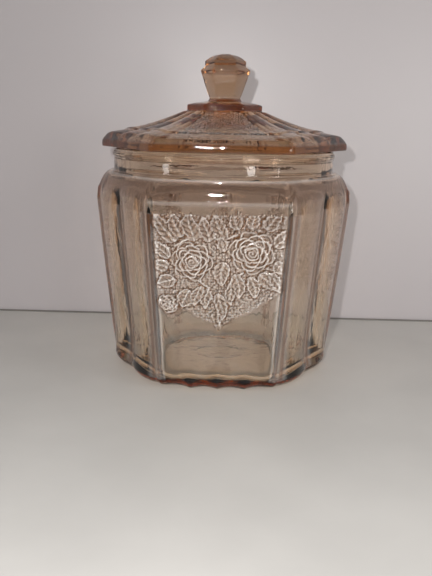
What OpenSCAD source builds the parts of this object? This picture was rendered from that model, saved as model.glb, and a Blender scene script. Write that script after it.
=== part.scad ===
// Covered glass jar: a pressed, softly hexagonal jar and a loose hexagonal lid with a faceted knob.
// +Z is up, the origin is the middle of the foot, and one relief panel faces -Y.

/* [Jar] */
// Radius over the corners where the wall meets the shoulder
corner_r = 78.6; // [70:0.1:90]
// How much narrower the corners are at the foot of the wall
taper = 11.6; // [4:0.1:16]
// Radius over the corners of the foot
foot_r = 54; // [52:0.1:60]
// Height at which the wall turns into the shoulder
shoulder_z = 103.5; // [90:0.5:110]
// Height of the rounded shoulder
shoulder_h = 19; // [14:0.5:24]
// Outside radius of the round neck
neck_r = 66.9; // [60:0.1:68]
// Inside radius of the mouth
mouth_r = 62; // [56:0.1:63]
// Height of the rim, on which the lid sits
rim_z = 135.3; // [128:0.1:142]
// Thickness of the wall
wall = 5; // [4.6:0.1:6]
// Thickness of the floor
floor_t = 5.5; // [5:0.1:8]
// Height of the lobes above the valleys between them
lobe_h = 3; // [1:0.1:3.5]
// Depth of the scallops round the foot
scallop_d = 4; // [0.5:0.1:4.5]

/* [Lid] */
// Radius over the corners of the lid
lid_r = 75; // [71:0.5:82]
// Height of the upright edge of the lid
edge_h = 3.8; // [2.5:0.1:5]
// Gap between the lid and the rim
seat_gap = 0.3; // [0.2:0.05:0.5]
// Outside radius of the ring that keeps the lid on the mouth
ring_r = 60; // [54:0.1:60.5]
// Depth of that ring
ring_h = 5; // [3:0.5:7]
// Height of the ribs above the slope between them
rib_h = 1.1; // [0.4:0.1:1.6]
// Radius over the corners of the plinth below the knob
plinth_r = 22.7; // [18:0.1:26]
// Radius of the knob at its widest
knob_r = 14.8; // [11:0.1:17]

/* [Smoothness] */
// Points round each ring
points_round = 120; // [120:120:240]

/* [Hidden] */
glass = [0.93, 0.72, 0.62, 0.55];

// Angles that the pattern is laid out on. A side is 60 degrees, and relief panels and lobed sides alternate.
side = 60;
lobe_span = 27;      // from the valley in the middle of a lobed side to the valley beside its corner
scallop_span = 15;   // between two points of the scalloped foot
rib_span = 20;       // between two ribs of the lid

// How sharply the corners turn: 2 is a circle, and a high number is a hexagon
corner_sharp = 70;
foot_sharp = 7;
lid_sharp = 90;
knob_sharp = 60;
fully_round = 2;

// Jar heights
foot_turn = 7;       // where the foot's curve meets the wall
scallop_top_z = 18;  // where the scallops have faded out
relief_full_z = 30;  // where the lobes and the crown reach their full height
low_relief = 0.9;    // how much of that height they have at the foot
sharp_full_z = 45;   // where the corners are at their sharpest
belly = 0.15;        // how much the wall bows out between the foot and the shoulder
valley_in = 1.6;     // how far the valleys lie inside the flat of the side
crown = 1;           // how far the middle of a panel stands out
foot_in_r = 42;      // inner edge of the ring that the jar stands on
kick = 1.2;          // how high the middle of the underside is raised
bead = 0.9;          // how far the bead below the rim stands out
neck_z = shoulder_z + shoulder_h;
floor_fillet = 8;
inner_soften = 0.8;  // the inside turns its corners more softly than the outside
inner_in = 0.3;
inner_shoulder_z = shoulder_z + 3;

// Lid heights
lid_z = rim_z + seat_gap;
edge_z = lid_z + edge_h;
border_z = edge_z + 6;
dome_r = 60;
dome_foot_z = border_z + 0.9;
plinth_z = dome_foot_z + 11.4;
plinth_h = 3.4;
plinth_top_z = plinth_z + plinth_h;
knob_z = plinth_top_z + 3.9;
knob_wide_z = knob_z + 15.9;
knob_ledge_z = knob_wide_z + 2.4;
knob_band_z = knob_ledge_z + 3.2;
top_z = knob_band_z + 4.1;
lid_wall = 5;

function mix(a, b, t) = a + (b - a) * t;
function clamp01(t) = max(0, min(1, t));
function smooth(t) = let (c = clamp01(t)) c * c * (3 - 2 * c);
function mod_pos(a, b) = a - b * floor(a / b);

// Angle from the middle of the nearest relief panel (-30 to 30), or on a lobed side 30 to 90
function pattern_angle(a) = mod_pos(a + 90 + side / 2, 2 * side) - side / 2;
function on_lobed_side(a) = pattern_angle(a) > side / 2;
function side_angle(a) = mod_pos(a + 90 + side / 2, side) - side / 2;

// Radius of a rounded hexagon of corner radius r in direction a
function cos_pow(a, sharp) = pow(abs(cos(a)), sharp);
function corner_sum(a, sharp) = cos_pow(a, sharp) + cos_pow(a - side, sharp) + cos_pow(a + side, sharp);
function hexagon_r(a, r, sharp) =
    r * pow(corner_sum(side / 2, sharp) / corner_sum(side_angle(a), sharp), 1 / sharp);

// Wall of the jar
function wall_corner_r(z) =
    let (t = clamp01(z / shoulder_z)) corner_r - taper * (1 - t - belly * t * (1 - t));
function wall_sharp(z) = mix(foot_sharp, corner_sharp, smooth(z / sharp_full_z));
function lobe(a) =
    let (b = abs(side_angle(a)))
    b < lobe_span ? sin(180 * b / lobe_span) * lobe_h - valley_in
                  : -valley_in * (side / 2 - b) / (side / 2 - lobe_span);
function crowned(a) = crown * pow(cos(90 * side_angle(a) / (side / 2)), 2);
function relief(a) = on_lobed_side(a) ? lobe(a) : crowned(a);
function scallops(a) = on_lobed_side(a) ? 0 : -scallop_d * abs(sin(180 * side_angle(a) / scallop_span));
function wall_r(a, z) =
    hexagon_r(a, wall_corner_r(z), wall_sharp(z))
    + relief(a) * mix(low_relief, 1, smooth(z / relief_full_z))
    + scallops(a) * (1 - smooth(z / scallop_top_z));
function inner_r(a, z) =
    hexagon_r(a, wall_corner_r(z) - wall, wall_sharp(z) * inner_soften) - inner_in;

// A ring is a list of points, one for each angle, going round counter-clockwise
angles = [for (i = [0:points_round - 1]) 360 * i / points_round];
function ring(radii, z) =
    [for (i = [0:points_round - 1]) [radii[i] * cos(angles[i]), radii[i] * sin(angles[i]), z]];
function even_ring(r, z, sharp = fully_round) = ring([for (a = angles) hexagon_r(a, r, sharp)], z);
function wall_ring(z) = ring([for (a = angles) wall_r(a, z)], z);
function inner_ring(z) = ring([for (a = angles) inner_r(a, z)], z);
// t runs from 0 at the table to 90 degrees at the wall
function foot_ring(t) =
    let (z = foot_turn * (1 - cos(t)))
    ring([for (a = angles)
        let (low = hexagon_r(a, foot_r, foot_sharp) + scallops(a) + relief(a) * low_relief)
        mix(low, wall_r(a, foot_turn), sin(t))], z);
// t runs from 0 at the wall to 90 degrees at the neck
function shoulder_ring(t) =
    ring([for (a = angles)
        let (out = wall_r(a, shoulder_z) - relief(a) * smooth(t / 45))
        mix(neck_r, out, cos(t))], shoulder_z + shoulder_h * sin(t));
function inner_shoulder_ring(t) =
    let (z = inner_shoulder_z + (shoulder_h - 5) * sin(t))
    ring([for (a = angles) mix(mouth_r, inner_r(a, inner_shoulder_z), cos(t))], z);
function fillet_ring(t) =
    let (z = floor_t + floor_fillet * (1 - cos(t)))
    ring([for (a = angles) inner_r(a, floor_t + floor_fillet) - floor_fillet * (1 - sin(t))], z);

// A closed skin over rings listed from the middle of one cap to the middle of the other
module skin(rings, first, last) {
    n = points_round;
    rows = len(rings);
    points = concat([first], [for (r = rings) each r], [last]);
    bottom_cap = [for (i = [0:n - 1]) [0, 1 + i, 1 + (i + 1) % n]];
    top_cap = [for (i = [0:n - 1])
        [1 + n * rows, 1 + n * (rows - 1) + (i + 1) % n, 1 + n * (rows - 1) + i]];
    bands = [for (k = [0:rows - 2]) for (i = [0:n - 1])
        let (a = 1 + k * n + i, b = 1 + k * n + (i + 1) % n) each [[a, a + n, b], [b, a + n, b + n]]];
    polyhedron(points, concat(bottom_cap, bands, top_cap));
}

module jar() {
    outside = concat(
        [even_ring(foot_in_r - 3, kick), even_ring(foot_in_r, 0)],
        [for (t = [0:22.5:67.5]) foot_ring(t)],
        [for (z = [foot_turn, 12, 18, 26, 36, 50, 70, 90, shoulder_z]) wall_ring(z)],
        [for (t = [15:15:90]) shoulder_ring(t)],
        [even_ring(neck_r, rim_z - 5), even_ring(neck_r + bead, rim_z - 3),
         even_ring(neck_r + bead, rim_z - 1.2), even_ring(neck_r, rim_z)]);
    inside = concat(
        [even_ring(mouth_r, rim_z)],
        [for (t = [90:-30:0]) inner_shoulder_ring(t)],
        [for (z = [75, 40, 25]) inner_ring(z)],
        [for (t = [90:-30:0]) fillet_ring(t)]);
    color(glass)
        skin(concat(outside, inside), [0, 0, kick], [0, 0, floor_t]);
}

// Lid: the valleys between the ribs run from just inside the edge up over the border and the dome. On the dome, t runs
// from 0 where it starts to 1 at the plinth.
function rib(a) = on_lobed_side(a) ? pow(abs(cos(180 * (side_angle(a) + side / 2) / rib_span)), 1.5) : 1;
function border_ring(inset, rise, valleys) =
    [for (i = [0:points_round - 1])
        let (a = angles[i], q = hexagon_r(a, lid_r - inset, lid_sharp))
        [q * cos(a), q * sin(a), edge_z + rise - valleys * rib_h * (1 - rib(a))]];
function dome_ring(t) =
    let (r = mix(dome_r, plinth_r, t), z = dome_foot_z + (plinth_z - dome_foot_z) * pow(t, 1.4))
    [for (i = [0:points_round - 1])
        let (a = angles[i], q = hexagon_r(a, r, mix(lid_sharp, knob_sharp, t)))
        [q * cos(a), q * sin(a), z - rib_h * (1 - rib(a)) * (1 - smooth((t - 0.6) / 0.4))]];

module lid() {
    under = concat(
        [for (t = [1, 0.75, 0.5, 0.25])
            even_ring(mix(ring_r - 4, 8, t), mix(lid_z + 4.5, plinth_z - lid_wall, pow(t, 0.8)))],
        [even_ring(ring_r - 3.5, lid_z + 3), even_ring(ring_r - 3.2, lid_z - ring_h),
         even_ring(ring_r - 0.4, lid_z - ring_h), even_ring(ring_r, lid_z)]);
    edge = [even_ring(lid_r, lid_z, lid_sharp), even_ring(lid_r, edge_z, lid_sharp),
            border_ring(2.6, 3.1, 0), border_ring(4, 3.9, 1), border_ring(7.5, 4.8, 1),
            border_ring(lid_r - dome_r - 1, border_z - edge_z, 1)];
    dome = [for (t = [0, 0.2, 0.4, 0.6, 0.8, 1]) dome_ring(t)];
    plinth = [even_ring(plinth_r, plinth_top_z, knob_sharp),
              even_ring(plinth_r * 0.82, plinth_top_z + 1.1, knob_sharp),
              even_ring(plinth_r * 0.55, plinth_top_z + 1.9, knob_sharp),
              even_ring(9, knob_z - 1, knob_sharp)];
    knob = concat(
        [for (t = [0:0.25:1])
            even_ring(mix(9.1, knob_r, pow(t, 0.9)), mix(knob_z, knob_wide_z, t), knob_sharp)],
        [even_ring(12.2, knob_ledge_z, knob_sharp), even_ring(12.3, knob_band_z, knob_sharp),
         even_ring(7, knob_band_z + 3, knob_sharp)]);
    color(glass)
        skin(concat(under, edge, dome, plinth, knob), [0, 0, plinth_z - lid_wall], [0, 0, top_z]);
}

jar();
lid();
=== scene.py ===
"""A covered jar of pale peach-pink pressed glass, on a pale table in front of a pale wall."""

import math

import bpy
import numpy as np
from mathutils import Matrix, Vector


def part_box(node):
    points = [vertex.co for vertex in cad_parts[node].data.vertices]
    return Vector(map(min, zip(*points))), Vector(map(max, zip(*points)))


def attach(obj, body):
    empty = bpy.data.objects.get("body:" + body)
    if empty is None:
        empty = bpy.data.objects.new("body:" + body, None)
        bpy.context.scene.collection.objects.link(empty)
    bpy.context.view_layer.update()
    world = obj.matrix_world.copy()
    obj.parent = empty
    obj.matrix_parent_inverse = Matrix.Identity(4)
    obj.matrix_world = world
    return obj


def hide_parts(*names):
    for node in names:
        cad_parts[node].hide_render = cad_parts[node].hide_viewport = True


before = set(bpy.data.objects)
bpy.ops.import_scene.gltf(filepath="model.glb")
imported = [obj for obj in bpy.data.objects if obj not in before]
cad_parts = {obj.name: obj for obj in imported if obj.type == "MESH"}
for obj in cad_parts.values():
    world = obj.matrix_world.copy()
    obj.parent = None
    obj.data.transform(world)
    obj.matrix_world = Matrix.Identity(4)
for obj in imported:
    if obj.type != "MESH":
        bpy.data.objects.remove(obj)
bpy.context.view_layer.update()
MM = 0.001

# ---------------------------------------------------------------------------
# Sizes in millimetres. The overall ones come from the frame.
# ---------------------------------------------------------------------------
_, jar_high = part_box("jar")
_, lid_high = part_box("lid")
RIM_Z = jar_high[2] / MM
LID_TOP_Z = lid_high[2] / MM
LID_R = lid_high[0] / MM

SIDE = 60.0  # degrees to each of the six sides; relief panels and lobed sides alternate
THIN = 4  # smooth parts keep one column in this many

CORNER_R, TAPER, BELLY = 78.6, 11.6, 0.15  # at the shoulder, how much less at the foot, and the swell between
SHOULDER_Z, SHOULDER_H = 103.5, 19.0
NECK_R, MOUTH_R, BEAD = 66.9, 62.0, 0.9
WALL, FLOOR_T, FLOOR_FILLET = 5.0, 5.5, 8.0
FOOT_R, FOOT_TURN_Z, FOOT_INNER_R, KICK = 54.0, 7.0, 42.0, 1.2
FOOT_SHARP, CORNER_SHARP, ROUND = 7.0, 70.0, 2.0  # see Round.hexagon
BASE_RING_R, BASE_RING_H = 14.6, 0.15  # a groove round the middle of the underside

VALLEY_ANGLE = 28.0  # where the valley beside a corner lies, from the middle of a lobed side
LOBE_H, VALLEY_IN = 2.4, 0.8  # how far the lobes rise over the valleys, and the valleys lie inside the flat
INNER_LOBES = 0.4  # the inner wall follows the lobes by this share
CROWN, CORNER_RIB_H = 0.8, 0.5
LOW_RELIEF = 0.9  # the share of the lobes and the crown that the foot has
SCALLOP_ANGLE, SCALLOP_D, SCALLOP_TOP_Z = 15.0, 4.0, 18.0
FRAME_ANGLE, FRAME_TOP_Z, FRAME_BAR, FRAME_H = 28.2, 108.5, 4.0, 0.4
RELIEF_LOW_Z, RELIEF_TOP_Z = 40.0, 105.5

DOME_R, PLINTH_R, KNOB_STEM_R, KNOB_R = 60.0, 22.7, 9.1, 14.8
RING_R, RING_H = 60.0, 5.0  # the ring under the lid that keeps it on the mouth
LID_Z = RIM_Z + 0.3
EDGE_Z = LID_Z + 3.8
BORDER_Z = EDGE_Z + 6.0
DOME_FOOT_Z = BORDER_Z + 0.9
PLINTH_Z = DOME_FOOT_Z + 11.4
PLINTH_TOP_Z = PLINTH_Z + 3.4
KNOB_Z = PLINTH_TOP_Z + 3.9
KNOB_WIDE_Z = KNOB_Z + 15.9
KNOB_LEDGE_Z = KNOB_WIDE_Z + 2.4
KNOB_BAND_Z = KNOB_LEDGE_Z + 3.2
LID_SHARP, KNOB_SHARP = 90.0, 60.0
RIB_ANGLE, RIB_H = 20.0, 1.1
HOLLOW_R, HOLLOW_TOP_Z = 57.0, LID_Z + 17.0


# ---------------------------------------------------------------------------
# Small helpers
# ---------------------------------------------------------------------------
def mix(a, b, t):
    return a + (b - a) * t


def smooth(t):
    t = np.clip(t, 0.0, 1.0)
    return t * t * (3.0 - 2.0 * t)


def bell(x, width):
    return np.exp(-((x / width) ** 2))


def cosd(a):
    return np.cos(np.radians(a))


def sind(a):
    return np.sin(np.radians(a))


def steps(a, b, n):
    """n values from a towards b, without b."""
    return np.linspace(a, b, n, endpoint=False)


# ---------------------------------------------------------------------------
# Directions round the axis. phi is the angle from the middle of a side.
# ---------------------------------------------------------------------------
class Round:
    """The columns of a mesh that goes once round the axis, placed across each panel and each lobed side."""

    def __init__(self, across_panel, across_lobes):
        sides = [(across_lobes if k % 2 else across_panel) for k in range(6)]
        self.phi = np.concatenate(sides)
        self.angle = np.concatenate([-90.0 + SIDE * k + side for k, side in enumerate(sides)])
        self.panel = np.concatenate([np.full(len(side), k % 2 == 0) for k, side in enumerate(sides)])
        self.n = len(self.phi)

    def hexagon(self, r, sharp):
        """Radius of a rounded hexagon with corners at radius r. sharp 2 gives a circle."""
        def total(a):
            return sum(np.abs(cosd(a + turn)) ** sharp for turn in (0.0, -SIDE, SIDE))

        return r * (total(SIDE / 2) / total(self.phi)) ** (1.0 / sharp)


def row(r, z, every=1, amber_and_shade=0.0, frost_and_highlight=0.0):
    """One ring of points: radius and height, one value or one for each column. Only one column in every is kept.
    The last two values give how far the glass there looks dark and brown, which stands both for thick glass and for
    painted shade, and how far it looks pale, which stands both for etching and for painted highlights."""
    return r, z, every, amber_and_shade, frost_and_highlight


def thin(rows):
    return [(r, z, THIN, amber_and_shade, frost_and_highlight) for r, z, _, amber_and_shade, frost_and_highlight in rows]


def skin(name, columns, rows, first_z, last_z):
    """A closed mesh through the rows, listed from the middle of one end to the middle of the other."""
    points, faces, starts, looks = [], [], [], []
    count = 0
    for r, z, every, amber_and_shade, frost_and_highlight in rows:
        r, z, amber_and_shade, frost_and_highlight = (np.broadcast_to(values, columns.n)[::every] for values in (r, z, amber_and_shade, frost_and_highlight))
        angle = columns.angle[::every]
        points.append(np.stack([r * cosd(angle), r * sind(angle), z], -1))
        looks.append(np.stack([amber_and_shade, frost_and_highlight], -1))
        starts.append((count, every))
        count += len(r)
    for (a, every_a), (b, every_b) in zip(starts, starts[1:]):
        faces += band(a, every_a, b, every_b, columns.n)
    faces += fan(count, starts[0], columns.n, True) + fan(count + 1, starts[-1], columns.n, False)
    points.append(np.array([(0, 0, first_z), (0, 0, last_z)]))
    looks.append(np.stack([looks[0][0], looks[-1][0]]))
    mesh = bpy.data.meshes.new(name)
    mesh.from_pydata(np.concatenate(points) * MM, [], faces)
    mesh.shade_smooth()
    for attribute, values in zip(("amber_and_shade", "frost_and_highlight"), np.concatenate(looks).T):
        mesh.attributes.new(attribute, "FLOAT", "POINT").data.foreach_set("value", values.astype(np.float32))
    obj = bpy.data.objects.new(name, mesh)
    bpy.context.scene.collection.objects.link(obj)
    return obj


def band(a, every_a, b, every_b, n):
    """Faces between the ring of points that starts at a and the next one, which starts at b."""
    if every_a == every_b:
        i = np.arange(n // every_a)
        j = (i + 1) % len(i)
        return np.stack([a + i, a + j, b + j, b + i], -1).tolist()
    fine, thin, flip = (a, b, False) if every_a < every_b else (b, a, True)
    faces = []
    for k in range(n // THIN):
        f = [fine + (k * THIN + m) % n for m in range(THIN + 1)]
        c0, c1 = thin + k, thin + (k + 1) % (n // THIN)
        half = THIN // 2
        faces += [(f[m], f[m + 1], c0 if m < half else c1) for m in range(THIN)]
        faces.append((c0, f[half], c1))
    return [face[::-1] for face in faces] if flip else faces


def fan(centre, start, n, facing_first):
    first, every = start
    m = n // every
    ring_points = [(first + i, first + (i + 1) % m) for i in range(m)]
    return [(centre, j, i) if facing_first else (centre, i, j) for i, j in ring_points]


# ---------------------------------------------------------------------------
# Relief on the panels: open roses, leaves and a bud over stipple. u runs across the panel, v up it.
# ---------------------------------------------------------------------------
GRAINS = np.random.default_rng(7).random((96, 96, 3))


def stipple(u, v, cell, height):
    """Small round grains, one in each cell of a jittered grid."""
    iu, iv = np.floor(u / cell).astype(int), np.floor(v / cell).astype(int)
    best = np.zeros_like(u)
    for du in (-1, 0, 1):
        for dv in (-1, 0, 1):
            ju, jv = iu + du, iv + dv
            jitter = GRAINS[ju % 96, jv % 96]
            cu = (ju + 0.2 + 0.6 * jitter[..., 0]) * cell
            cv = (jv + 0.2 + 0.6 * jitter[..., 1]) * cell
            size = cell * (0.36 + 0.2 * jitter[..., 2])
            best = np.maximum(best, bell(np.hypot(u - cu, v - cv), size) * (0.6 + 0.4 * jitter[..., 2]))
    return best * height


def rose(u, v, cu, cv, size, turn):
    """Height and cover of an open rose: five rings of petals with rolled lips round a spiral heart."""
    d = np.hypot(u - cu, v - cv)
    th = np.degrees(np.arctan2(v - cv, u - cu)) - turn
    height = np.zeros_like(u)
    rings = [(1.0, 6, 0), (0.83, 6, 33), (0.66, 5, 12), (0.5, 5, 50), (0.34, 4, 20)]
    for share, petals, phase in rings:
        swing = np.abs(sind((th - phase) * petals / 2))
        edge = size * share * (0.8 + 0.2 * swing ** 0.7)
        inside = smooth((edge - d) / 0.8)
        crease = bell(swing, 0.18) * smooth((d - size * (share - 0.2)) / 1.0)
        height += inside * (0.25 - 0.2 * crease)
        height += 0.6 * bell(d - edge + 0.6, 0.5)
        height -= 0.2 * inside * smooth(1 - (edge - d) / (0.2 * size))
    spiral = np.mod(d / (0.13 * size) - th / 360.0, 1.0)
    height += 0.4 * bell(spiral - 0.5, 0.22) * smooth((0.36 * size - d) / 1.0)
    return height, smooth((size * 0.98 - d) / 0.8)


def leaf(u, v, base, tip, width):
    """Height and cover of a pointed leaf with a toothed edge, a midrib and slanted veins."""
    bu, bv = base
    length = math.hypot(tip[0] - bu, tip[1] - bv)
    au, av = (tip[0] - bu) / length, (tip[1] - bv) / length
    along = ((u - bu) * au + (v - bv) * av) / length
    across = np.abs((v - bv) * au - (u - bu) * av)
    s = np.clip(along, 0.001, 0.999)
    half = width * np.sin(math.pi * s ** 0.75) ** 0.8
    half = half * (1 + 0.16 * np.abs(np.sin(s * math.pi * 5)))
    inside = smooth((half - across) / 0.6) * ((along > 0) & (along < 1))
    veins = np.abs(np.sin((along - across / length * 0.9) * math.pi * 5.5))
    height = 0.4 + 0.3 * bell(across, 0.55) + 0.22 * veins + 0.4 * bell(half - across - 0.5, 0.5)
    return height * inside, inside


def stem(u, v, points, width):
    """Height of a raised line through the points."""
    away = np.full_like(u, 99.0)
    for (u0, v0), (u1, v1) in zip(points, points[1:]):
        du, dv = u1 - u0, v1 - v0
        t = np.clip(((u - u0) * du + (v - v0) * dv) / (du * du + dv * dv), 0, 1)
        away = np.minimum(away, np.hypot(u - u0 - t * du, v - v0 - t * dv))
    return 0.7 * bell(away, width)


ROSES = [(-14.5, 77.5, 11.6, 20.0), (17.0, 83.0, 12.6, 75.0), (-28.0, 53.0, 6.0, 40.0)]
LEAVES = [
    ((-23, 88), (-34, 104), 4.2), ((-13, 89), (-17, 105), 4.4), ((-26, 80), (-35, 88), 3.6),
    ((-20, 90), (-25, 105), 3.4),
    ((2, 90), (-3, 104), 4.0), ((10, 95), (6, 106), 3.4), ((24, 95), (30, 106), 4.0), ((-5, 88), (-9, 103), 3.6),
    ((29, 86), (36, 97), 3.8), ((29, 78), (36, 72), 3.6), ((22, 71), (31, 62), 4.0), ((17, 96), (17, 107), 3.4),
    ((2, 78), (1, 64), 4.2), ((-24, 68), (-34, 64), 3.8), ((9, 71), (12, 56), 3.8), ((3, 84), (0, 92), 3.0),
    ((0, 60), (3, 44), 3.4), ((-6, 62), (-8, 50), 3.2), ((-16, 61), (-21, 50), 4.2), ((17, 70), (21, 57), 3.4),
    ((-10, 64), (-14, 52), 3.2), ((28, 72), (35, 60), 3.2), ((-27, 74), (-36, 76), 3.4), ((6, 66), (7, 52), 3.0),
]
STEMS = [
    [(1, 41), (-1, 52), (-6, 62), (-12, 68)],
    [(1, 41), (4, 54), (9, 66), (14, 73)],
    [(-5, 60), (-12, 60), (-22, 56)],
    [(-22, 86), (-14, 92), (-2, 90), (8, 92)],
]


def wandering(u, v):
    """Moves the pattern a little this way and that, so that no line is quite true."""
    return (u + 0.45 * np.sin(0.45 * v + 1.3) + 0.2 * np.sin(0.9 * u + 0.7 * v),
            v + 0.45 * np.sin(0.42 * u + 0.4) + 0.2 * np.sin(0.8 * v - 0.7 * u))


def bouquet(u, v):
    plain_u, plain_v = u, v
    u, v = wandering(u, v)
    height = np.zeros_like(u)
    cover = np.zeros_like(u)
    for points in STEMS:
        height = np.maximum(height, stem(u, v, points, 0.6))
    for base, tip, width in LEAVES:
        h, c = leaf(u, v, base, tip, width)
        height = np.where(c > 0.5, np.maximum(h, height * (1 - c)), np.maximum(height, h))
        cover = np.maximum(cover, c)
    for cu, cv, size, turn in ROSES:
        h, c = rose(u, v, cu, cv, size, turn)
        height = mix(height, h, c)
        cover = np.maximum(cover, c)
    # The stippled ground: wide above, and drawn in to a point at the bottom.
    half = 35.5 * smooth((v - 38.0) / 26.0) ** 0.7
    ground = smooth((half - np.abs(u)) / 2.0)
    grain = stipple(plain_u, plain_v, 1.5, 0.5) * ground * (1 - 0.85 * cover)
    return (height + grain) * smooth((RELIEF_TOP_Z - plain_v) / 1.5)


def blurred(height, times):
    for _ in range(times):
        for axis in (0, 1):
            height = (np.roll(height, 1, axis) + 2 * height + np.roll(height, -1, axis)) / 4
    return height


def creases_and_ridges(height, depth):
    """How far down in a crease, and how high on a ridge, each point of a relief lies."""
    away = (height - blurred(height, 4)) / depth
    return np.clip(-away, 0, 1), np.clip(away, 0, 1)


# ---------------------------------------------------------------------------
# Jar
# ---------------------------------------------------------------------------
across_lobes = np.concatenate([steps(-SIDE / 2, -VALLEY_ANGLE, 2), steps(-VALLEY_ANGLE, 0, 18),
                               steps(0, VALLEY_ANGLE, 18), steps(VALLEY_ANGLE, SIDE / 2, 2)])
ring = Round(steps(-SIDE / 2, SIDE / 2, 132), across_lobes)


def wall_corner_r(z):
    t = np.clip(z / SHOULDER_Z, 0, 1)
    return CORNER_R - TAPER * (1 - t - BELLY * t * (1 - t))


def wall_sharp(z):
    return mix(FOOT_SHARP, CORNER_SHARP, smooth(z / 45.0))


AWAY = np.abs(ring.phi)


def lobes():
    """Two convex lobes on each lobed side, with valleys between them and beside the corners."""
    round_part = sind(180 * np.minimum(AWAY, VALLEY_ANGLE) / VALLEY_ANGLE) * LOBE_H - VALLEY_IN
    corner_part = -VALLEY_IN * (SIDE / 2 - AWAY) / (SIDE / 2 - VALLEY_ANGLE)
    return np.where(AWAY < VALLEY_ANGLE, round_part, corner_part)


RELIEF = np.where(ring.panel, CROWN * cosd(90 * ring.phi / (SIDE / 2)) ** 2, lobes())
# Painted shade: brown beside the corners and along the valleys. Painted highlight: a pale line along the frame of a
# panel.
VALLEY_SHADE = np.where(ring.panel, 0.9 * bell(AWAY - 29.4, 1.0),
                   np.maximum(bell(AWAY - 1.5, 2.4), bell(AWAY - 27.0, 2.4)))
FRAME_HIGHLIGHT = 0.17 * ring.panel * bell(AWAY - 27.2, 0.35)
CORNER_RIB = CORNER_RIB_H * (bell(AWAY - SIDE / 2, 1.7) - 1)
SCALLOPS = np.where(ring.panel, -SCALLOP_D * np.abs(sind(180 * ring.phi / SCALLOP_ANGLE)), 0.0)


def panel_field(z):
    """How far the field of a panel lies below its frame, as a negative height."""
    inside = smooth((FRAME_ANGLE - AWAY) / 2.5) * smooth((FRAME_TOP_Z - z) / 1.2)
    return -FRAME_H * inside * smooth((z - 14) / 14.0) * ring.panel


def wall_r(z):
    return (ring.hexagon(wall_corner_r(z), wall_sharp(z)) + CORNER_RIB * smooth((z - 5.0) / 20.0)
            + RELIEF * mix(LOW_RELIEF, 1.0, smooth(z / 30.0))
            + SCALLOPS * (1 - smooth(z / SCALLOP_TOP_Z)))


def inner_r(z):
    lobed = INNER_LOBES * ~ring.panel * RELIEF
    lobed = lobed * smooth((z - FLOOR_T) / 12.0) * smooth((SHOULDER_Z - z) / 8.0)
    return ring.hexagon(wall_corner_r(z) - WALL, wall_sharp(z) * 0.8) - 0.3 + lobed


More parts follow.
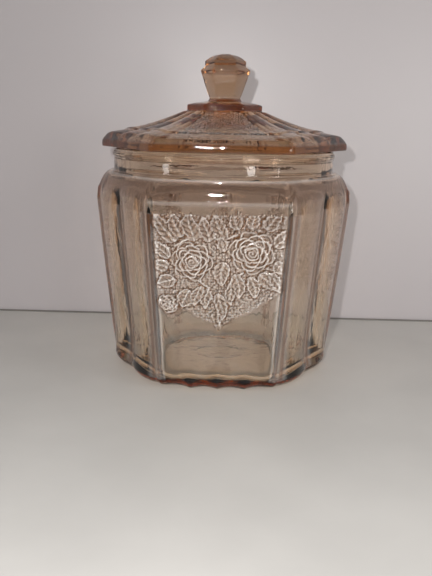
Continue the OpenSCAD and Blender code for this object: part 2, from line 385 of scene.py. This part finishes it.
def jar_rows():
    bottom_r = (2.0, 8.0, 12.5, 14.0, 14.6, 15.2, 17.0, 20.0, 24.0, 28.0, 32.0, 36.0, 38.0, 40.0, 42.0)
    bottom = thin(row(r, KICK * smooth((FOOT_INNER_R - r) / 5.0) + BASE_RING_H * bell(r - BASE_RING_R, 0.8))
                  for r in bottom_r)
    low = ring.hexagon(FOOT_R, FOOT_SHARP) + SCALLOPS + RELIEF * LOW_RELIEF
    foot = [row(mix(low, wall_r(FOOT_TURN_Z), sind(t)), FOOT_TURN_Z * (1 - cosd(t)), amber_and_shade=0.25)
            for t in steps(0, 90, 10)]
    # Painted shade beside the corners and along the valleys, and a painted highlight along the panel frame.
    lower = [row(wall_r(z) + panel_field(z), z, amber_and_shade=0.92 * VALLEY_SHADE, frost_and_highlight=FRAME_HIGHLIGHT + 0.35 * VALLEY_SHADE)
             for z in steps(FOOT_TURN_Z, RELIEF_LOW_Z, 10)]
    # The panels' relief runs on to the first part of the shoulder.
    wall_z = steps(RELIEF_LOW_Z, SHOULDER_Z, 122)
    turn = steps(0, 90, 20)
    shoulder_z = SHOULDER_Z + SHOULDER_H * sind(turn)
    z = np.concatenate([wall_z, shoulder_z])
    u, v = np.meshgrid(wall_r(60.0) * sind(ring.phi), z)
    relief = bouquet(u, v) * ring.panel * smooth((FRAME_ANGLE - np.abs(ring.phi)) / 1.5)
    # Painted shade in the creases of the relief, and painted highlights on its ridges.
    crease_shade, ridge_highlights = creases_and_ridges(relief, 0.17)
    # Painted shade on the panels, faint low down and growing towards their top.
    depth = ring.panel * (0.08 + 0.27 * smooth((wall_z[:, None] - 84.0) / 18.0))
    wall = [row(wall_r(z) + panel_field(z) + height, z, 1,
                np.clip(crease + painted_shade + 0.92 * VALLEY_SHADE, 0, 1), 0.36 * ridge + FRAME_HIGHLIGHT + 0.35 * VALLEY_SHADE)
            for z, height, crease, ridge, painted_shade in zip(wall_z, relief, crease_shade, ridge_highlights, depth)]
    shoulder = []
    for t, z, height in zip(turn, shoulder_z, relief[len(wall_z):]):
        out = wall_r(SHOULDER_Z) - RELIEF * smooth(t / 45.0)
        out = out - (CORNER_RIB + CORNER_RIB_H) * smooth((t - 20.0) / 12.0)
        bar = FRAME_H * ring.panel * smooth(z - FRAME_TOP_Z) * smooth(FRAME_TOP_Z + FRAME_BAR - z)
        # Painted shade: a brown band over the shoulder.
        painted_shade = mix(0.35, 0.75, smooth((t - 14.0) / 10.0)) * smooth((75.0 - t) / 15.0)
        # Painted highlights: a pale line high on the shoulder below the neck, and another along the top of the panel
        # frame.
        shoulder.append(row(mix(NECK_R, out, cosd(t)) + panel_field(z) + bar + height, z, 1, painted_shade,
                            0.42 * bell(t - 64.0, 5.0) + 0.22 * ring.panel * bell(z - FRAME_TOP_Z - 0.5, 0.7)))
    neck_z = SHOULDER_Z + SHOULDER_H
    neck = [row(NECK_R, z, amber_and_shade=0.25) for z in (neck_z, neck_z + 1.5, 126.0, 129.0)]
    neck += [row(NECK_R + BEAD * cosd(t), RIM_Z - 3.0 + 1.6 * sind(t)) for t in np.linspace(-90, 90, 9)]
    lip_r = (MOUTH_R + NECK_R) / 2
    lip = [row(lip_r + (NECK_R - lip_r) * cosd(t), RIM_Z - 1.0 + sind(t)) for t in np.linspace(0, 180, 9)]
    mouth = [row(MOUTH_R, z) for z in (132.0, 127.0)]
    inner_z = SHOULDER_Z + 3.0
    inside = [row(mix(MOUTH_R, inner_r(inner_z), cosd(t)), inner_z + (SHOULDER_H - 5) * sind(t))
              for t in np.linspace(90, 0, 9)]
    side = [row(inner_r(z), z) for z in (98.0, 86.0, 74.0, 60.0, 46.0, 34.0, 24.0)]
    fillet_z = FLOOR_T + FLOOR_FILLET
    side += [row(inner_r(fillet_z) - FLOOR_FILLET * (1 - sind(t)), FLOOR_T + FLOOR_FILLET * (1 - cosd(t)))
               for t in np.linspace(90, 0, 9)]
    floor = [row(ring.hexagon(r, ROUND + 1.5), FLOOR_T, amber_and_shade=0.12) for r in (46.0, 32.0, 18.0, 6.0)]
    return bottom + foot + lower + wall + shoulder + thin(neck + lip + mouth + inside) + side + thin(floor)


# ---------------------------------------------------------------------------
# Lid
# ---------------------------------------------------------------------------
lid_ring = Round(steps(-SIDE / 2, SIDE / 2, 120), steps(-SIDE / 2, SIDE / 2, 60))


def reeds():
    """Three convex ribs on each ribbed sector, with a sharp valley between neighbours."""
    return np.where(lid_ring.panel, 0.0,
                    np.abs(sind(180 * (lid_ring.phi + SIDE / 2) / RIB_ANGLE)) ** 0.7)


def lid_rows():
    rows = []
    for t in np.linspace(0.93, 0, 16):
        rows.append(row(HOLLOW_R * (1 - t), mix(LID_Z + 0.6, HOLLOW_TOP_Z, t ** 0.75)))
    rows += [row(HOLLOW_R + 0.3, LID_Z - 0.3), row(HOLLOW_R + 0.5, LID_Z - RING_H + 1.0)]
    rows += [row(RING_R - 1.3 - 1.2 * cosd(t), LID_Z - RING_H + 0.8 - 0.8 * sind(t)) for t in np.linspace(15, 165, 7)]
    rows += [row(RING_R - 0.2, LID_Z - 1.0), row(RING_R, LID_Z)]
    rows += [row(lid_ring.hexagon(r, mix(ROUND, LID_SHARP, t)), LID_Z) for r, t in ((64.5, 0.02), (73.8, 1.0))]
    for t in np.linspace(-60, 60, 7):
        edge = lid_ring.hexagon(LID_R - 0.5 + 0.5 * cosd(t), LID_SHARP)
        rows.append(row(edge, mix(LID_Z, EDGE_Z, 0.5 + sind(t) / 1.74), amber_and_shade=1.0, frost_and_highlight=0.2))
    # From the edge a rounded border rises to the dome. The ribs and the stipple run from just inside the edge
    # to the plinth.
    t = np.linspace(0, 1, 40)
    slope_r = np.concatenate([LID_R - np.array([1.4, 2.7, 4.4, 7.5, 10.5, 13.2]), mix(DOME_R, PLINTH_R, t)])
    slope_z = np.concatenate([EDGE_Z + np.array([1.6, 3.1, 4.2, 4.9, 5.4, 5.8]),
                              DOME_FOOT_Z + (PLINTH_Z - DOME_FOOT_Z) * t ** 1.4])
    radii = np.linspace(LID_R - 1.4, PLINTH_R, 96)
    heights = np.interp(-radii, -slope_r, slope_z)
    fade = smooth((LID_R - 2.2 - radii) / 1.6) * smooth((radii - PLINTH_R) / 4.0)
    sharps = np.interp(radii, [PLINTH_R, DOME_R], [KNOB_SHARP, LID_SHARP])
    edges = np.array([lid_ring.hexagon(r, sharp) for r, sharp in zip(radii, sharps)])
    fields = fade[:, None] * lid_ring.panel * smooth((26.0 - np.abs(lid_ring.phi)) / 1.6)
    grain = stipple(edges * sind(lid_ring.phi), np.repeat(radii[:, None], lid_ring.n, 1), 1.4, 0.5) * fields
    # Painted shade in the creases of the stipple, and painted highlights on its grains.
    crease_shade, ridge_highlights = creases_and_ridges(grain, 0.2)
    ribs = fade[:, None] * reeds()
    # Painted shade in the valleys between the ribs and along the sides of the stippled panels.
    valleys = fade[:, None] * np.where(lid_ring.panel, bell(np.abs(lid_ring.phi) - 26.5, 1.3), (1 - reeds()) ** 2)
    brown = 0.45 * bell(radii - LID_R, 6.0) + 0.2
    for k in range(len(radii)):
        rows.append(row(edges[k], heights[k] + ribs[k] * RIB_H - 0.5 * fields[k] + grain[k], 1,
                        np.clip(brown[k] + 0.5 * crease_shade[k] + 0.8 * valleys[k], 0, 1), 0.4 * ridge_highlights[k]))
    for z in (0.6, 1.7, 2.8):
        rows.append(row(lid_ring.hexagon(PLINTH_R, KNOB_SHARP), PLINTH_Z + z, amber_and_shade=1.0, frost_and_highlight=0.05))
    for share, z in ((0.99, 0.0), (0.9, 0.6), (0.82, 1.1), (0.68, 1.5), (0.55, 1.9), (0.45, 2.3)):
        rows.append(row(lid_ring.hexagon(PLINTH_R * share, KNOB_SHARP), PLINTH_TOP_Z + z, amber_and_shade=0.4))
    for t in np.linspace(0, 1, 14):
        r = mix(KNOB_STEM_R, KNOB_R, t ** 0.9)
        rows.append(row(lid_ring.hexagon(r, KNOB_SHARP), mix(KNOB_Z, KNOB_WIDE_Z, t), amber_and_shade=0.5))
    for r, z in ((14.6, KNOB_WIDE_Z + 0.6), (12.6, KNOB_LEDGE_Z - 0.3), (12.2, KNOB_LEDGE_Z),
                 (12.3, KNOB_BAND_Z - 0.3), (12.1, KNOB_BAND_Z), (9.5, KNOB_BAND_Z + 1.9),
                 (6.5, KNOB_BAND_Z + 3.3), (3.0, KNOB_BAND_Z + 4.0)):
        rows.append(row(lid_ring.hexagon(r, KNOB_SHARP), z, amber_and_shade=0.6))
    return rows


# ---------------------------------------------------------------------------
# Materials
# ---------------------------------------------------------------------------
def new_material(name):
    material = bpy.data.materials.new(name)
    material.use_nodes = True
    nodes = material.node_tree.nodes
    return material, nodes, material.node_tree.links, nodes["Principled BSDF"]


def pressed_glass(name):
    """Peach-pink glass: clear in a thin wall and dark orange-brown along a thick edge, with painted shade in the
    hollows of the relief and in the valleys, painted highlights on its raised parts and in a few pale lines, and the
    faint waviness of pressing."""
    material, nodes, links, shader = new_material(name)
    shader.inputs["Roughness"].default_value = 0.02
    shader.inputs["IOR"].default_value = 1.5
    amber_and_shade, frost_and_highlight = (nodes.new("ShaderNodeAttribute") for _ in range(2))
    amber_and_shade.attribute_name, frost_and_highlight.attribute_name = "amber_and_shade", "frost_and_highlight"
    # From clear to dark brown: the dark end is both the colour of thick glass and painted shade.
    tint = nodes.new("ShaderNodeValToRGB")
    tint.color_ramp.elements[0].color = (1.0, 0.985, 0.96, 1.0)
    tint.color_ramp.elements[1].color = (0.17, 0.06, 0.015, 1.0)
    links.new(amber_and_shade.outputs["Fac"], tint.inputs["Fac"])
    links.new(tint.outputs["Color"], shader.inputs["Base Color"])
    # Less light goes through where the glass should look pale: etching, and painted highlights.
    clear = nodes.new("ShaderNodeMath")
    clear.operation = "SUBTRACT"
    clear.inputs[0].default_value = 1.0
    links.new(frost_and_highlight.outputs["Fac"], clear.inputs[1])
    links.new(clear.outputs["Value"], shader.inputs["Transmission Weight"])
    depth = nodes.new("ShaderNodeVolumeAbsorption")
    depth.inputs["Color"].default_value = (0.99, 0.79, 0.53, 1.0)
    depth.inputs["Density"].default_value = 72.0
    links.new(depth.outputs["Volume"], nodes["Material Output"].inputs["Volume"])
    where = nodes.new("ShaderNodeTexCoord")
    drawn = nodes.new("ShaderNodeMapping")  # the waves are longer up and down than round the piece
    drawn.inputs["Scale"].default_value = (1.0, 1.0, 0.4)
    links.new(where.outputs["Object"], drawn.inputs["Vector"])
    normal = None
    for scale, height in ((70.0, 0.4), (300.0, 0.08)):
        waves = nodes.new("ShaderNodeTexNoise")
        waves.inputs["Scale"].default_value = scale
        waves.inputs["Detail"].default_value = 2.0
        bump = nodes.new("ShaderNodeBump")
        bump.inputs["Distance"].default_value = height * MM
        links.new(drawn.outputs["Vector"], waves.inputs["Vector"])
        links.new(waves.outputs["Fac"], bump.inputs["Height"])
        if normal:
            links.new(normal, bump.inputs["Normal"])
        normal = bump.outputs["Normal"]
    links.new(normal, shader.inputs["Normal"])
    return material


def painted(name, colour, shade, scale, roughness):
    """A matt painted surface whose colour varies a little."""
    material, nodes, links, shader = new_material(name)
    shader.inputs["Roughness"].default_value = roughness
    where = nodes.new("ShaderNodeTexCoord")
    noise = nodes.new("ShaderNodeTexNoise")
    noise.inputs["Scale"].default_value = scale
    noise.inputs["Detail"].default_value = 6.0
    ramp = nodes.new("ShaderNodeValToRGB")
    ramp.color_ramp.elements[0].position = 0.35
    ramp.color_ramp.elements[0].color = (*(c * shade for c in colour), 1.0)
    ramp.color_ramp.elements[1].position = 0.65
    ramp.color_ramp.elements[1].color = (*colour, 1.0)
    links.new(where.outputs["Object"], noise.inputs["Vector"])
    links.new(noise.outputs["Fac"], ramp.inputs["Fac"])
    links.new(ramp.outputs["Color"], shader.inputs["Base Color"])
    return material


# ---------------------------------------------------------------------------
# The two pieces
# ---------------------------------------------------------------------------
def make_piece(name, columns, rows, first_z, last_z, node, slot):
    piece = skin(name, columns, rows, first_z, last_z)
    piece.data.materials.append(pressed_glass(slot))
    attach(piece, node)
    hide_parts(node)
    return piece


make_piece("pressed_jar", ring, jar_rows(), KICK, FLOOR_T, "jar", "jar_glass")
make_piece("pressed_lid", lid_ring, lid_rows(), HOLLOW_TOP_Z, LID_TOP_Z, "lid", "lid_glass")


# ---------------------------------------------------------------------------
# Table, wall, lights and camera
# ---------------------------------------------------------------------------
def plane(name, corners, material):
    mesh = bpy.data.meshes.new(name)
    mesh.from_pydata(corners, [], [(0, 1, 2, 3)])
    mesh.materials.append(material)
    obj = bpy.data.objects.new(name, mesh)
    bpy.context.scene.collection.objects.link(obj)
    return obj


def upright(name, y, bottom, top, material):
    """A plane as wide as the wall, facing the viewer."""
    return plane(name, [(-WALL_X, y, bottom), (WALL_X, y, bottom), (WALL_X, y, top), (-WALL_X, y, top)], material)


# In metres.
WALL_Y, WALL_X, WALL_BOTTOM_Z, WALL_TOP_Z = 0.105, 0.42, -0.05, 0.6
SPREAD = 1.6
TABLE_END_Y = WALL_Y - 0.0015
plane("table", [(-SPREAD, -SPREAD, 0), (SPREAD, -SPREAD, 0), (SPREAD, TABLE_END_Y, 0), (-SPREAD, TABLE_END_Y, 0)],
      painted("table_paint", (0.53, 0.512, 0.485), 0.92, 14.0, 0.45))


def one_sided(material):
    """Lets a view from behind pass through, so that the wall never hides the jar."""
    nodes, links = material.node_tree.nodes, material.node_tree.links
    side = nodes.new("ShaderNodeNewGeometry")
    clear = nodes.new("ShaderNodeBsdfTransparent")
    both = nodes.new("ShaderNodeMixShader")
    links.new(side.outputs["Backfacing"], both.inputs["Fac"])
    links.new(nodes["Principled BSDF"].outputs["BSDF"], both.inputs[1])
    links.new(clear.outputs["BSDF"], both.inputs[2])
    links.new(both.outputs["Shader"], nodes["Material Output"].inputs["Surface"])
    return material


upright("wall", WALL_Y, WALL_BOTTOM_Z, WALL_TOP_Z,
        one_sided(painted("wall_paint", (0.355, 0.328, 0.332), 0.97, 5.0, 0.4)))
# The dark line where the table meets the wall.
upright("joint", TABLE_END_Y, -0.001, 0.0014, painted("joint_paint", (0.12, 0.11, 0.10), 0.9, 14.0, 0.7))


def area_light(name, place, size, watts, through_glass, colour=(1, 1, 1), height=None):
    """A soft light aimed at the jar: round, or a rectangle where it has a height. The share through_glass of it
    casts no shadow, because light that goes through the glass is brighter on the far side than a solid's shadow."""
    for kind, share in (("solid", 1 - through_glass), ("clear", through_glass)):
        data = bpy.data.lights.new(f"{name}_{kind}", "AREA")
        data.shape = "RECTANGLE" if height else "DISK"
        data.size = size
        if height:
            data.size_y = height
        data.energy = watts * share
        data.color = colour
        data.use_shadow = kind == "solid"
        obj = bpy.data.objects.new(data.name, data)
        obj.location = place
        obj.rotation_euler = (MIDDLE - Vector(place)).to_track_quat("-Z", "Y").to_euler()
        bpy.context.scene.collection.objects.link(obj)


MIDDLE = Vector((0, 0, 0.09))
area_light("key", (0.80, -0.55, 0.50), 0.32, 1.6, 0.0, (1.0, 0.98, 0.95))
area_light("fill", (0.44, -0.82, 0.17), 0.26, 3.0, 0.5, (1.0, 0.98, 0.96))
area_light("flash", (-0.020, -0.452, 0.186), 0.009, 1.35, 0.15)
# Tall narrow lights on both sides, which the lobes reflect as upright streaks.
for side in (-1, 1):
    area_light(f"strip{side}", (0.62 * side, -0.42, 0.30), 0.05, 0.5, 1.0, (1.0, 1.0, 1.0), 0.5)


def room_light(floor, horizon, ceiling, strength):
    """Light from the room: dim near the floor and bright above."""
    world = bpy.data.worlds.new("room")
    world.use_nodes = True
    nodes, links = world.node_tree.nodes, world.node_tree.links
    where = nodes.new("ShaderNodeTexCoord")
    parts = nodes.new("ShaderNodeSeparateXYZ")
    up = nodes.new("ShaderNodeMath")
    up.operation = "MULTIPLY_ADD"
    up.inputs[1].default_value = up.inputs[2].default_value = 0.5
    ramp = nodes.new("ShaderNodeValToRGB")
    ramp.color_ramp.elements.new(0.5)
    for element, colour in zip(ramp.color_ramp.elements, (floor, horizon, ceiling)):
        element.color = (*colour, 1)
    links.new(where.outputs["Generated"], parts.inputs["Vector"])
    links.new(parts.outputs["Z"], up.inputs[0])
    links.new(up.outputs["Value"], ramp.inputs["Fac"])
    links.new(ramp.outputs["Color"], nodes["Background"].inputs["Color"])
    nodes["Background"].inputs["Strength"].default_value = strength
    bpy.context.scene.world = world


room_light((0.35, 0.32, 0.29), (0.95, 0.92, 0.88), (1.0, 1.0, 1.0), 0.32)

# The camera stands in front, a little above the lid, and looks down.
CAMERA_AWAY, CAMERA_Z = 0.455, 0.1545
CAMERA_ROUND, CAMERA_DOWN, CAMERA_LEFT, CAMERA_ROLL = (math.radians(a) for a in (1.1, 13.25, 0.4, 1.1))
camera = bpy.data.objects.new("camera", bpy.data.cameras.new("camera"))
camera.data.lens = 45.6
camera.data.clip_start = 0.01
camera.matrix_world = (
    Matrix.Translation((CAMERA_AWAY * math.sin(CAMERA_ROUND), -CAMERA_AWAY * math.cos(CAMERA_ROUND), CAMERA_Z))
    @ Matrix.Rotation(CAMERA_ROUND + CAMERA_LEFT, 4, "Z")
    @ Matrix.Rotation(math.radians(90) - CAMERA_DOWN, 4, "X")
    @ Matrix.Rotation(CAMERA_ROLL, 4, "Z")
)
bpy.context.scene.collection.objects.link(camera)
scene = bpy.context.scene
scene.camera = camera
scene.view_settings.view_transform = "Standard"
scene.cycles.max_bounces = 24
scene.cycles.transmission_bounces = 24
scene.cycles.sample_clamp_indirect = 3.0
